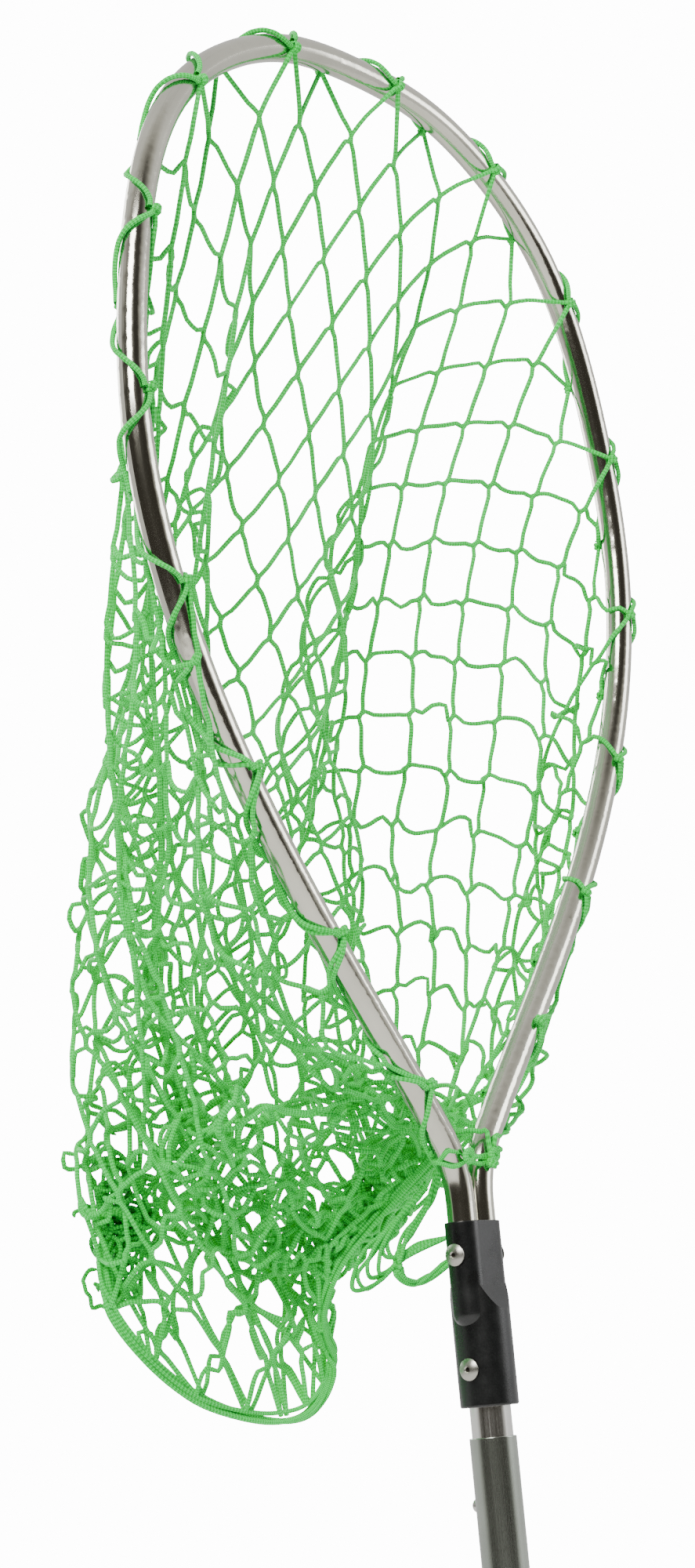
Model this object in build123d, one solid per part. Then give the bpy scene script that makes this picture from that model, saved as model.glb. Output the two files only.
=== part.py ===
from build123d import *
import math
import os

os.makedirs("parts", exist_ok=True)

# Landing net. Millimetres. Origin: middle of the handle's butt face.
# +Z runs up the handle to the hoop, X is across the hoop, +Y is the bag's side.

# ---- tubes
outer_od = 25.4
outer_wall = 1.25
outer_length = 610.0
outer_edge_fillet = 0.5
slide_fit = 0.35  # radial, inner tube in outer tube
inner_od = outer_od - 2 * (outer_wall + slide_fit)
inner_wall = 1.2
yoke_gap = 16.0  # bright inner tube between the outer tube's mouth and the yoke

# ---- hoop, centreline sizes
hoop_od = 15.875
hoop_wall = 1.2
hoop_width = 458.0
hoop_height = 665.0  # above the yoke's top
neck_straight = 10.0  # straight leg above the yoke
neck_bend_r = 58.0
neck_flare = 38.0  # degrees each leg leans out above its bend
# half outline above the bend: share of the half width, share of the height
hoop_outline = [
    (0.520, 0.246),
    (0.862, 0.430),
    (0.992, 0.580),
    (0.963, 0.740),
    (0.770, 0.897),
    (0.420, 0.978),
]

# ---- yoke
bore_clearance = 0.12  # radial, tube in yoke
barrel_wall = 4.53
barrel_od = inner_od + 2 * (bore_clearance + barrel_wall)
leg_web = 1.685  # between the two leg bores
leg_spacing = hoop_od + 2 * bore_clearance + leg_web  # between the two legs' centres
lobe_wall = 1.75
lobe_length = 48.0
shoulder_rise = 14.0  # slanted shoulder from the barrel up on to the lobes
leg_bore_depth = 45.0
tube_bore_depth = 46.0
yoke_web = 7.0  # between the leg bores and the tube bore
yoke_length = leg_bore_depth + yoke_web + tube_bore_depth
yoke_fillet = 1.2

# ---- blind rivets
rivet_shank_d = 4.8
rivet_rim = 3.5  # the head's rim beyond the shank
rivet_head_d = rivet_shank_d + 2 * rivet_rim
rivet_head_rise = 2.4
rivet_stem_d = rivet_shank_d / 2
rivet_bulge_d = rivet_shank_d + 1.8
rivet_bulge_length = 2.6
rivet_fit = 0.08  # radial, shank in its hole
rivet_seat = 0.15  # head and bulge stand this clear of what they clamp
hoop_rivet_drop = 17.6  # below the yoke's top
tube_rivet_rise = 20.0  # above the yoke's bottom
stem_recess = 1.0

# ---- snap buttons
button_d = 7.0
button_stand = 3.7  # above the outer tube
button_drop = 35.0  # below the outer tube's mouth
button_hole_fit = 0.3  # radial
button_collar_rim = 0.7  # the collar's rim beyond the button
button_collar_d = button_d + 2 * button_collar_rim
button_collar_t = 0.6
collar_clear = 0.24  # the collar's rim to the inner tube's bore
press_clear = 0.15  # the pressed tip to the outer tube's bore
button_press = button_stand + outer_wall + press_clear  # travel that takes it inside the outer tube
button_tip_gap = 0.1  # the pressed lower button's tip to the outer tube's bore
bush_room = 93.3  # handle closed, from the bush down to the end cap
strip_width = 6.6
strip_t = 0.8
strip_leg = 34.0
strip_bend_r = 4.0
strip_gap = 0.12
spring_clear = 2.0  # lower spring above the bush

# ---- bush, grip, end cap
slide_gap = 0.15  # radial, bush in the outer tube
plug_fit = 0.1  # radial, plugs in tubes
bush_flange = 5.0
bush_plug = 12.0
bush_bore_d = 11.0
grip_length = 190.0
grip_fit = 0.1
grip_wall = 3.7
grip_od = outer_od + 2 * (grip_fit + grip_wall)
grip_fillet = 3.0
groove_count = 11
groove_pitch = 14.0
groove_width = 3.0
groove_depth = 0.9
cap_flange = 6.0
cap_plug = 24.0
cap_seat = 0.1
cap_fillet = 2.5
cap_dish_d = 18.0
cap_dish_depth = 2.0

# ---- netting bag, a closed shell that follows the net's true outer shape
bag_wall = 3.0
bag_clear = 0.6  # behind the hoop tube
bag_rows = 9
bag_stations = 25  # round the mouth, odd, so that one is at the top
ridge_half = 7.0  # half width of the closed bottom
bag_start = 0.055  # share of the half outline that stays open at the neck
# closed bottom from the neck to the back (x, y, z above the yoke's top)
ridge = [
    (20.0, 28.0, 44.0),
    (11.0, 60.0, 19.0),
    (-11.0, 85.0, -13.0),
    (-12.0, 98.0, -42.0),
    (2.0, 104.0, -64.0),
    (-11.0, 111.0, -89.0),
    (-46.0, 119.0, -92.0),
    (-99.0, 135.0, -71.0),
    (-137.0, 150.0, -24.0),
    (-123.0, 160.0, 16.0),
]
# how far the wall bows off a straight line from mouth to bottom, a third of the way down,
# round the mouth from the right leg over the top to the left leg
upper_bow = [
    (0.0, 14.0, 0.0),
    (14.0, 30.0, -10.0),
    (-40.0, 60.0, 20.0),
    (-60.0, 70.0, 30.0),
    (-50.0, 60.0, 30.0),
    (-30.0, 46.0, 10.0),
    (-10.0, 40.0, 0.0),
    (-15.0, 44.0, 0.0),
    (-28.0, 56.0, -20.0),
    (-42.0, 70.0, -30.0),
    (-56.0, 80.0, -40.0),
    (-50.0, 56.0, -40.0),
    (-10.0, 14.0, 0.0),
]
# and two thirds of the way down
lower_bow = [
    (0.0, 14.0, 0.0),
    (14.0, 34.0, -16.0),
    (-20.0, 60.0, 0.0),
    (-30.0, 66.0, 10.0),
    (-30.0, 60.0, 10.0),
    (-30.0, 64.0, 0.0),
    (-50.0, 76.0, 0.0),
    (-70.0, 92.0, 10.0),
    (-92.0, 98.0, 20.0),
    (-100.0, 92.0, 10.0),
    (-84.0, 68.0, -10.0),
    (-50.0, 44.0, -20.0),
    (-10.0, 14.0, 0.0),
]
seam_d = 8.0
seam_clear = 2.6
seam_start = 3  # stations between the neck and the seam's bundle
seam_stop = 3  # and between its back end and the bag's
binding_length = 7.0
binding_t = 2.6
binding_clear = 0.5
binding_rise = 30.0  # above the yoke's top

# ---- heights that follow
cap_seat_z = cap_flange + cap_seat
outer_bottom_z = cap_seat_z
mouth_z = outer_bottom_z + outer_length
yoke_bottom_z = mouth_z + yoke_gap
yoke_top_z = yoke_bottom_z + yoke_length
step_z = yoke_top_z - lobe_length
inner_top_z = yoke_bottom_z + tube_bore_depth - cap_seat
leg_bottom_z = yoke_top_z - leg_bore_depth + cap_seat
button_z = mouth_z - button_drop
spring_drop = strip_leg + strip_bend_r + strip_t  # a spring's lowest point below its button
inner_bottom_z = cap_flange + cap_plug + bush_room + bush_flange
lower_button_z = inner_bottom_z + bush_plug + spring_clear + spring_drop  # its travel is up to button_z
outer_bore_r = outer_od / 2 - outer_wall
inner_bore_r = inner_od / 2 - inner_wall
collar_top_y = math.sqrt((inner_bore_r - collar_clear) ** 2 - (button_collar_d / 2) ** 2)
button_base_y = collar_top_y - button_collar_t  # underside of the collar, button out
lobe_r = hoop_od / 2 + bore_clearance + lobe_wall
leg_x = leg_spacing / 2
hoop_rivet_z = yoke_top_z - hoop_rivet_drop
tube_rivet_z = yoke_bottom_z + tube_rivet_rise
button_tip_y = outer_od / 2 + button_stand


def rod(r, z0, z1):
    return Pos(0, 0, z0) * Cylinder(r, z1 - z0, align=(Align.CENTER, Align.CENTER, Align.MIN))


def rod_x(r, x0, x1, z):
    length = abs(x1 - x0)
    return Pos((x0 + x1) / 2, 0, z) * Rot(0, 90, 0) * Cylinder(r, length)


def rod_y(r, y0, y1, z):
    return Pos(0, (y0 + y1) / 2, z) * Rot(90, 0, 0) * Cylinder(r, abs(y1 - y0))


def right_half():
    """The hoop's centreline above the yoke, neck to top, on the +X side."""
    half = hoop_width / 2
    bend = JernArc((leg_x, yoke_top_z + neck_straight), (0, 1), neck_bend_r, -neck_flare)
    pts = [(w * half, yoke_top_z + h * hoop_height) for w, h in hoop_outline]
    pts = [bend @ 1] + pts + [(0, yoke_top_z + hoop_height)]
    side = Spline(pts, tangents=[bend % 1, (-1, 0)])
    foot = Line((leg_x, leg_bottom_z), (leg_x, yoke_top_z + neck_straight))
    return foot, bend, side


def standing(edges):
    """Flat sketch edges stood up in the hoop's plane."""
    return [Plane.XZ * e for e in edges]


def hoop_path():
    half = standing(right_half())
    other = [mirror(e, about=Plane.YZ) for e in half]
    return Wire(half + other)


def rivet_hole(r, sign, x_in, z):
    return rod_x(r, sign * x_in, sign * hoop_width, z)


def make_hoop():
    half = Wire(standing(right_half()))
    start = Plane(origin=(leg_x, 0, leg_bottom_z), z_dir=(0, 0, 1))
    ring = Circle(hoop_od / 2) - Circle(hoop_od / 2 - hoop_wall)
    tube = sweep(start * ring, path=half)
    tube += mirror(tube, about=Plane.YZ)
    for sign in (-1, 1):
        hole = rod_x(rivet_shank_d / 2 + rivet_fit, sign * leg_x, sign * (leg_x + hoop_od), hoop_rivet_z)
        tube -= hole
    return tube


def make_yoke():
    barrel_r = barrel_od / 2
    top = step_z + shoulder_rise
    thin = lobe_r * 0.97
    profile = Polyline(
        (-barrel_r, yoke_bottom_z),
        (barrel_r, yoke_bottom_z),
        (barrel_r, step_z),
        (thin, top),
        (-thin, top),
        (-barrel_r, step_z),
        close=True,
    )
    wedge = extrude(Plane.YZ * make_face(profile), amount=barrel_r, both=True)
    barrel = rod(barrel_r, yoke_bottom_z, top) & wedge
    foot = barrel.edges().group_by(Axis.Z)[0]
    barrel = fillet(foot, yoke_fillet)
    lobes = extrude(Pos(0, 0, step_z) * SlotOverall(leg_spacing + 2 * lobe_r, 2 * lobe_r), amount=lobe_length)
    lobes = fillet(lobes.edges().group_by(Axis.Z)[-1], yoke_fillet / 2)
    body = barrel + lobes
    for sign in (-1, 1):
        body += Pos(sign * leg_x, 0, step_z) * Sphere(lobe_r)
    body -= rod(inner_od / 2 + bore_clearance, yoke_bottom_z - yoke_length, yoke_bottom_z + tube_bore_depth)
    for sign in (-1, 1):
        body -= Pos(sign * leg_x, 0, 0) * rod(
            hoop_od / 2 + bore_clearance, yoke_top_z - leg_bore_depth, yoke_top_z + yoke_length
        )
        body -= rod_x(rivet_shank_d / 2 + rivet_fit, sign * leg_x, sign * barrel_od, hoop_rivet_z)
        body -= rod_x(rivet_shank_d / 2 + rivet_fit, sign, sign * barrel_od, tube_rivet_z)
    return body


def make_inner_tube():
    tube = rod(inner_od / 2, inner_bottom_z, inner_top_z) - rod(inner_bore_r, inner_bottom_z, inner_top_z)
    for z in (button_z, lower_button_z):
        tube -= rod_y(button_d / 2 + button_hole_fit, 0, inner_od, z)
    for sign in (-1, 1):
        tube -= rod_x(rivet_shank_d / 2 + rivet_fit, sign, sign * inner_od, tube_rivet_z)
    return tube


def make_outer_tube():
    tube = rod(outer_od / 2, outer_bottom_z, mouth_z)
    tube = fillet(tube.edges().group_by(Axis.Z)[-1], outer_edge_fillet)
    tube -= rod(outer_bore_r, outer_bottom_z, mouth_z)
    return tube - rod_y(button_d / 2 + button_hole_fit, 0, outer_od, button_z)


def rivet_at(sign, face_x, grip_in_x, z):
    """Head outside face_x, shank through to grip_in_x, formed bulge behind it, hollow for the stem."""
    head_r = rivet_head_d / 2
    shank_r = rivet_shank_d / 2
    stem_r = rivet_stem_d / 2
    bulge_r = rivet_bulge_d / 2
    x0 = face_x + rivet_seat
    x1 = x0 + rivet_head_rise
    inner = grip_in_x - rivet_seat
    tail = inner - rivet_bulge_length
    rim = rivet_head_rise / 4
    dome = Spline(
        (x0 + rim, head_r),
        (x0 + rivet_head_rise * 0.8, head_r * 0.6),
        (x1, stem_r * 1.5),
    )
    outline = Polyline((x1, stem_r * 1.5), (x1 - rim, stem_r), (tail, stem_r), (tail, shank_r))
    side = Polyline((inner, shank_r), (x0, shank_r), (x0, head_r), (x0 + rim, head_r))
    mid = (inner + tail) / 2
    bulge = ThreePointArc((tail, shank_r), (mid, bulge_r), (inner, shank_r))
    face = make_face([*dome.edges(), *outline.edges(), *bulge.edges(), *side.edges()])
    body = revolve(face, Axis.X)
    stem = rod_x(stem_r - rivet_fit, tail + stem_recess, x1 - rim - stem_recess, 0)
    turn = Pos(0, 0, z) * (Rot(0, 0, 180) if sign < 0 else Rot(0, 0, 0))
    return turn * body, turn * stem


def lobe_face_x():
    return leg_x + lobe_r


def bulge_seat(bore_r):
    """How far out the bulge can sit on a round bore before its rim meets the wall."""
    return math.sqrt(bore_r**2 - (rivet_bulge_d / 2) ** 2)


def hoop_rivet(sign):
    return rivet_at(sign, lobe_face_x(), leg_x + bulge_seat(hoop_od / 2 - hoop_wall), hoop_rivet_z)


def tube_rivet(sign):
    return rivet_at(sign, barrel_od / 2, bulge_seat(inner_bore_r), tube_rivet_z)


def make_button(z, out):
    """out moves it along Y from where it stands out."""
    r = button_d / 2
    tip = button_tip_y + out
    base = button_base_y + out
    body = rod_y(r, base, tip - r * 0.55, z)
    dome = Pos(0, tip - r * 0.55, z) * Rot(-90, 0, 0) * scale(Sphere(r), by=(1, 1, 0.55))
    collar = rod_y(button_collar_d / 2, base, base + button_collar_t, z)
    return body + dome + collar


def make_spring(z, out):
    """V of flat strip: one leg behind the button, one on the far wall, bend below."""
    y_near = button_base_y + out - strip_gap - strip_t / 2
    y_far = -(inner_bore_r - strip_t * 1.6)
    z_bend = z - strip_leg
    mid = (y_near + y_far) / 2
    near = Line((y_near, z + button_collar_d / 2), (y_near, z - button_collar_d / 2))
    ramp = Line((y_near, z - button_collar_d / 2), (mid + strip_bend_r, z_bend))
    bend = ThreePointArc((mid + strip_bend_r, z_bend), (mid, z_bend - strip_bend_r), (mid - strip_bend_r, z_bend))
    back = Line((mid - strip_bend_r, z_bend), (y_far, z - button_collar_d / 2))
    far = Line((y_far, z - button_collar_d / 2), (y_far, z + button_collar_d / 2))
    wire = Wire([near, ramp, bend, back, far])
    flat = offset(Plane.XY * wire, amount=strip_t / 2, kind=Kind.ARC)
    return extrude(Plane.YZ * make_face(flat), amount=strip_width / 2, both=True)


def make_bush():
    low = inner_bottom_z - bush_flange
    body = rod(outer_bore_r - slide_gap, low, inner_bottom_z - cap_seat)
    body = chamfer(body.edges().group_by(Axis.Z)[0], slide_gap * 4)
    body += rod(inner_bore_r - plug_fit, inner_bottom_z - cap_seat, inner_bottom_z + bush_plug)
    return body - rod(bush_bore_d / 2, low, inner_bottom_z + bush_plug)


def make_grip():
    low = outer_bottom_z
    body = rod(grip_od / 2, low, low + grip_length)
    body = fillet(body.edges().group_by(Axis.Z)[-1], grip_fillet)
    first = low + (grip_length - (groove_count - 1) * groove_pitch) / 2
    for i in range(groove_count):
        z = first + i * groove_pitch
        band = rod(grip_od, z - groove_width / 2, z + groove_width / 2)
        body -= band - rod(grip_od / 2 - groove_depth, z - groove_width, z + groove_width)
    return body - rod(outer_od / 2 + grip_fit, low, low + grip_length)


def make_end_cap():
    body = rod(grip_od / 2, 0, cap_flange)
    body = fillet(body.edges().group_by(Axis.Z)[0], cap_fillet)
    body += rod(outer_bore_r - plug_fit, cap_flange, cap_flange + cap_plug)
    bore = rod(outer_bore_r - plug_fit - outer_wall, cap_flange, cap_flange + cap_plug)
    return body - bore


def along(points, t):
    """Smooth point at share t of a list, each coordinate by itself."""
    n = len(points) - 1
    at = min(max(t, 0.0), 1.0) * n
    i = min(int(at), n - 1)
    f = at - i
    p = [points[max(i - 1, 0)], points[i], points[i + 1], points[min(i + 2, n)]]
    out = []
    for k in range(len(points[0])):
        a, b, c, d = (q[k] for q in p)
        out.append(b + 0.5 * f * (c - a + f * (2 * a - 5 * b + 4 * c - d + f * (3 * (b - c) + d - a))))
    return out


def bag_point(mouth, q, v):
    """q from the right leg over the top to the left leg, v from mouth to bottom."""
    side = 1 if q < 0.5 else -1
    foot = along(ridge, 1 - abs(2 * q - 1))
    if q != 0.5:
        foot[0] += side * ridge_half
    p0 = Vector(mouth.X, hoop_od / 2 + bag_clear, mouth.Z)
    p3 = Vector(foot[0], foot[1], yoke_top_z + foot[2])
    p1 = p0 + (p3 - p0) / 3 + Vector(*along(upper_bow, q))
    p2 = p0 + (p3 - p0) * 2 / 3 + Vector(*along(lower_bow, q))
    w = 1 - v
    return p0 * w**3 + p1 * (3 * v * w * w) + p2 * (3 * v * v * w) + p3 * v**3


def bag_grid():
    """Stations round the mouth, each a row of points from mouth to bottom."""
    foot, bend, side = standing(right_half())
    curve = Wire([bend, side])
    grid = []
    for i in range(bag_stations):
        q = i / (bag_stations - 1)
        mouth = curve @ (bag_start + (1 - bag_start) * (1 - abs(2 * q - 1)))
        if q > 0.5:
            mouth = Vector(-mouth.X, mouth.Y, mouth.Z)
        grid.append([bag_point(mouth, q, j / bag_rows) for j in range(bag_rows + 1)])
    return grid


def lining(grid):
    """The same grid moved inwards by the wall."""
    n = len(grid)
    inner = [[] for _ in grid]
    for j in range(bag_rows + 1):
        middle = sum((row[j] for row in grid), Vector(0, 0, 0)) / n
        for i in range(n):
            here = grid[i][j]
            across = grid[(i + 1) % n][j] - grid[i - 1][j]
            down = grid[i][min(j + 1, bag_rows)] - grid[i][max(j - 1, 0)]
            if j == 0:
                down = Vector(0, 1, 0)
            step = across.cross(down).normalized() * bag_wall
            if step.dot(middle - here) < 0:
                step = step * -1
            if 2 * i == n - 1 and j > bag_rows / 2:
                step = step * 2
            if j == bag_rows:
                step += (grid[i][j - 1] - here).normalized() * bag_wall
            inner[i].append(here + step)
    return inner


def make_bag():
    outer = bag_grid()
    inner = lining(outer)
    faces = []
    n = bag_stations

    def quad(a, b, c, d):
        for tri in ((a, b, c), (a, c, d)):
            if (tri[1] - tri[0]).cross(tri[2] - tri[0]).length > 1e-4:
                faces.append(Face(Wire([Line(tri[k], tri[(k + 1) % 3]) for k in range(3)])))

    for g in (outer, inner):
        for i in range(n):
            nxt = g[(i + 1) % n]
            for j in range(bag_rows):
                quad(g[i][j], nxt[j], nxt[j + 1], g[i][j + 1])
        for i in range(n // 2):
            quad(g[i][-1], g[i + 1][-1], g[n - 2 - i][-1], g[n - 1 - i][-1])
    for i in range(n):
        k = (i + 1) % n
        quad(outer[i][0], outer[k][0], inner[k][0], inner[i][0])
    return Solid(Shell(faces))


def seam_path():
    """Runs just outside the bag's closed bottom, where both walls point."""
    grid = bag_grid()
    n = bag_stations
    pts = []
    for i in range(seam_start, n // 2 - seam_stop + 1):
        a = grid[i]
        b = grid[n - 1 - i]
        out = (a[-1] - a[-2]).normalized() + (b[-1] - b[-2]).normalized()
        u = 2 * i / (n - 1)
        tangent = (Vector(*along(ridge, u + 0.02)) - Vector(*along(ridge, u - 0.02))).normalized()
        out = (out - tangent * out.dot(tangent)).normalized()
        pts.append((a[-1] + b[-1]) / 2 + out * (seam_d / 2 + seam_clear))
    return Spline(pts)


def make_seam():
    path = seam_path()
    return sweep(Plane(origin=path @ 0, z_dir=path % 0) * Circle(seam_d / 2), path=path)


def make_binding():
    """Turns of twine round both legs, where they have begun to part."""
    top = binding_rise + binding_length
    lean = math.asin((top - neck_straight) / neck_bend_r)
    reach = leg_x + neck_bend_r * (1 - math.cos(lean)) + hoop_od / 2 / math.cos(lean) + binding_clear
    deep = hoop_od / 2 + binding_clear
    hole = SlotOverall(2 * reach, 2 * deep)
    band = offset(hole, amount=binding_t) - hole
    return extrude(Pos(0, 0, yoke_top_z + binding_rise) * band, amount=binding_length)


parts = {}


def build():
    parts["hoop"] = make_hoop()
    parts["yoke"] = make_yoke()
    parts["inner_tube"] = make_inner_tube()
    parts["outer_tube"] = make_outer_tube()
    for side, sign in (("left", -1), ("right", 1)):
        parts[f"rivet_hoop_{side}"], parts[f"stem_hoop_{side}"] = hoop_rivet(sign)
        parts[f"rivet_tube_{side}"], parts[f"stem_tube_{side}"] = tube_rivet(sign)
    lower_out = outer_bore_r - button_tip_gap - button_tip_y
    parts["snap_button"] = make_button(button_z, 0)
    parts["snap_spring"] = make_spring(button_z, 0)
    parts["lower_button"] = make_button(lower_button_z, lower_out)
    parts["lower_spring"] = make_spring(lower_button_z, lower_out)
    parts["tube_bush"] = make_bush()
    parts["grip"] = make_grip()
    parts["end_cap"] = make_end_cap()
    parts["net_bag"] = make_bag()
    parts["net_seam"] = make_seam()
    parts["neck_binding"] = make_binding()


build()
for name, part in parts.items():
    export_step(part, os.path.join("parts", name + ".step"))
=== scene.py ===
import math
import bmesh
import bpy
import numpy as np
from mathutils import Matrix, Vector


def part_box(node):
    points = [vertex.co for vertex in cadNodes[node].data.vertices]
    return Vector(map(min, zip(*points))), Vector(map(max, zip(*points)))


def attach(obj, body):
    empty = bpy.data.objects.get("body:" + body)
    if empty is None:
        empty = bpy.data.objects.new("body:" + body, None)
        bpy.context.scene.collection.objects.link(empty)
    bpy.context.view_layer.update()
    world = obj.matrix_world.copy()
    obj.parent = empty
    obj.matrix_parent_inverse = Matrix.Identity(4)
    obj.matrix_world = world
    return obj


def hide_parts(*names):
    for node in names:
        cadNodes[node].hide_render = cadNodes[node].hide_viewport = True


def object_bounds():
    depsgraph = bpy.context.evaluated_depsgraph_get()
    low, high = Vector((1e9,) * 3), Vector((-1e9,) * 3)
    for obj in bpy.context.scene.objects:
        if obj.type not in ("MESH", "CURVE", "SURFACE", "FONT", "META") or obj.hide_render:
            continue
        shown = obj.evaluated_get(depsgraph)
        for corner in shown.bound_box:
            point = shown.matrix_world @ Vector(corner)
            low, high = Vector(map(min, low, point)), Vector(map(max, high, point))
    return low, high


print("loading the frame")
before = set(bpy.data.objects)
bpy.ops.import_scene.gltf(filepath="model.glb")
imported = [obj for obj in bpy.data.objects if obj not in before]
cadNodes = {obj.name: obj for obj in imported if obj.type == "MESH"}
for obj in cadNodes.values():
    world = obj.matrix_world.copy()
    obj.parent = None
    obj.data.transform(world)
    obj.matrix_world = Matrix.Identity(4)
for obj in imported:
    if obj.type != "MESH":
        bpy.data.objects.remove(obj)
cadLow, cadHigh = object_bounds()

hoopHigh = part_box("hoop")[1]
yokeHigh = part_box("yoke")[1]
tubeRadius = hoopHigh.y
neckZ = yokeHigh.z  # the yoke's top, where both legs come out
hoopTopZ = hoopHigh.z - tubeRadius
scene = bpy.context.scene


# small helpers
def linkObject(name, data):
    made = bpy.data.objects.new(name, data)
    scene.collection.objects.link(made)
    return made


def smoothStep(t):
    t = np.clip(t, 0, 1)
    return t * t * (3 - 2 * t)


def roundOff(points, times=2):
    # Catmull-Rom through the points, each span cut into so many
    points = np.asarray(points, float)
    last = len(points) - 1
    i = np.arange(last)
    a, b, c, d = points[np.maximum(i - 1, 0)], points[i], points[i + 1], points[np.minimum(i + 2, last)]
    out = []
    for k in range(times):
        f = k / times
        out.append(b + 0.5 * f * (c - a + f * (2 * a - 5 * b + 4 * c - d + f * (3 * (b - c) + d - a))))
    return np.concatenate([np.stack(out, 1).reshape(-1, 3), points[-1:]])


def pathAt(points, where):
    # the same curve at any share of its stations, from 0 to 1
    points = np.asarray(points, float)
    last = len(points) - 1
    at = np.clip(where, 0, 1) * last
    i = np.minimum(at.astype(int), last - 1)
    f = (at - i)[:, None]
    a, b, c, d = points[np.maximum(i - 1, 0)], points[i], points[i + 1], points[np.minimum(i + 2, last)]
    return b + 0.5 * f * (c - a + f * (2 * a - 5 * b + 4 * c - d + f * (3 * (b - c) + d - a)))


def pathLength(points):
    return float(np.linalg.norm(np.diff(points, axis=0), axis=1).sum())


def twineMesh(name, paths, radius, sides=8, swell=0.05, seed=0, taper=False):
    # one mesh of round strands; its UV runs in metres along and once round
    rng = np.random.default_rng(seed)
    curve = bpy.data.curves.new(name + "Line", "CURVE")
    curve.dimensions = "3D"
    curve.bevel_depth = radius
    curve.bevel_resolution = max(sides // 2 - 2, 0)
    curve.use_fill_caps = False
    for path in paths:
        spline = curve.splines.new("POLY")
        spline.points.add(len(path) - 1)
        spline.points.foreach_set("co", np.concatenate([path, np.ones((len(path), 1))], 1).ravel())
        marks = np.arange(0, len(path) + 5, 5)
        width = 1 + swell * np.interp(np.arange(len(path)), marks, rng.normal(0, 1, len(marks)))
        if taper:
            end = np.minimum(np.arange(len(path)), np.arange(len(path))[::-1]) / 2
            width *= 0.35 + 0.65 * np.clip(end, 0, 1)
        spline.points.foreach_set("radius", width)
        spline.use_smooth = True
    line = linkObject(name + "Line", curve)
    mesh = bpy.data.meshes.new_from_object(line.evaluated_get(bpy.context.evaluated_depsgraph_get()))
    bpy.data.objects.remove(line)
    bpy.data.curves.remove(curve)
    mesh.name = name
    if mesh.uv_layers:
        layer = mesh.uv_layers[0]
        uv = np.zeros(len(mesh.loops) * 2)
        layer.uv.foreach_get("vector", uv)
        uv = uv.reshape(-1, 2)
        spans = np.array([len(p) - 1 for p in paths])
        loops = spans * 4 * (len(mesh.loops) // (4 * spans.sum()))
        lengths = np.repeat([pathLength(p) for p in paths], loops)
        uv[:, 0] *= lengths
        layer.uv.foreach_set("vector", uv.ravel())
    return linkObject(name, mesh)


def dressPiece(piece, material, body="head", replaced=()):
    piece.data.materials.clear()
    piece.data.materials.append(material)
    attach(piece, body)
    if replaced:
        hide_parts(*replaced)
    return piece


# the line of the hoop tube's middle
hoopShape = {
    "legLength": 0.045,
    "legApart": 0.0178,
    "straight": 0.010,
    "bendRadius": 0.058,
    "flare": 38.0,
    "halfWidth": 0.229,
    # share of the half width, share of the height
    "outline": [
        (0.520, 0.246),
        (0.862, 0.430),
        (0.992, 0.580),
        (0.963, 0.740),
        (0.770, 0.897),
        (0.420, 0.978),
        (0, 1),
    ],
    "step": 0.002,
}


def clampedSpline(points, startTangent, endTangent):
    points = np.array(points, float)
    count = len(points)
    gaps = np.linalg.norm(np.diff(points, axis=0), axis=1)
    marks = np.concatenate([[0], np.cumsum(gaps)])
    matrix = np.zeros((count, count))
    right = np.zeros((count, 2))
    matrix[0, 0] = matrix[-1, -1] = 1
    right[0], right[-1] = startTangent, endTangent
    for i in range(1, count - 1):
        before, after = gaps[i - 1], gaps[i]
        matrix[i, i - 1 : i + 2] = 1 / before, 2 * (1 / before + 1 / after), 1 / after
        right[i] = 3 * ((points[i] - points[i - 1]) / before**2 + (points[i + 1] - points[i]) / after**2)
    slopes = np.linalg.solve(matrix, right)

    def at(where):
        i = np.clip(np.searchsorted(marks, where, side="right") - 1, 0, count - 2)
        gap = gaps[i][:, None]
        t = (where - marks[i])[:, None] / gap
        return (
            (2 * t**3 - 3 * t**2 + 1) * points[i]
            + (t**3 - 2 * t**2 + t) * gap * slopes[i]
            + (3 * t**2 - 2 * t**3) * points[i + 1]
            + (t**3 - t**2) * gap * slopes[i + 1]
        )

    return at, marks[-1]


def hoopLine(shape):
    # from the +X leg's foot over the top to the -X leg's foot
    height = hoopTopZ - neckZ
    legX = shape["legApart"] / 2
    flare = math.radians(shape["flare"])
    turn = np.linspace(0, flare, 30)
    foot = np.stack([np.full(12, legX), np.linspace(-shape["legLength"], shape["straight"], 12)], 1)[:-1]
    across = legX + shape["bendRadius"] * (1 - np.cos(turn))
    bend = np.stack([across, shape["straight"] + shape["bendRadius"] * np.sin(turn)], 1)
    points = [tuple(bend[-1])] + [(w * shape["halfWidth"], h * height) for w, h in shape["outline"]]
    at, length = clampedSpline(points, (math.sin(flare), math.cos(flare)), (-1, 0))
    half = np.concatenate([foot, bend, at(np.linspace(0, length, 500))[1:]])
    whole = np.concatenate([half, half[:-1][::-1] * [-1, 1]])
    along = np.concatenate([[0], np.cumsum(np.linalg.norm(np.diff(whole, axis=0), axis=1))])
    arcs = np.linspace(0, along[-1], int(along[-1] / shape["step"]))
    x, z = np.interp(arcs, along, whole[:, 0]), np.interp(arcs, along, whole[:, 1])
    return np.stack([x, np.zeros(len(x)), z + neckZ], 1), arcs


tubeLine, tubeArcs = hoopLine(hoopShape)
tubeTangent = np.stack([np.gradient(tubeLine[:, k], tubeArcs) for k in range(3)], 1)


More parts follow.
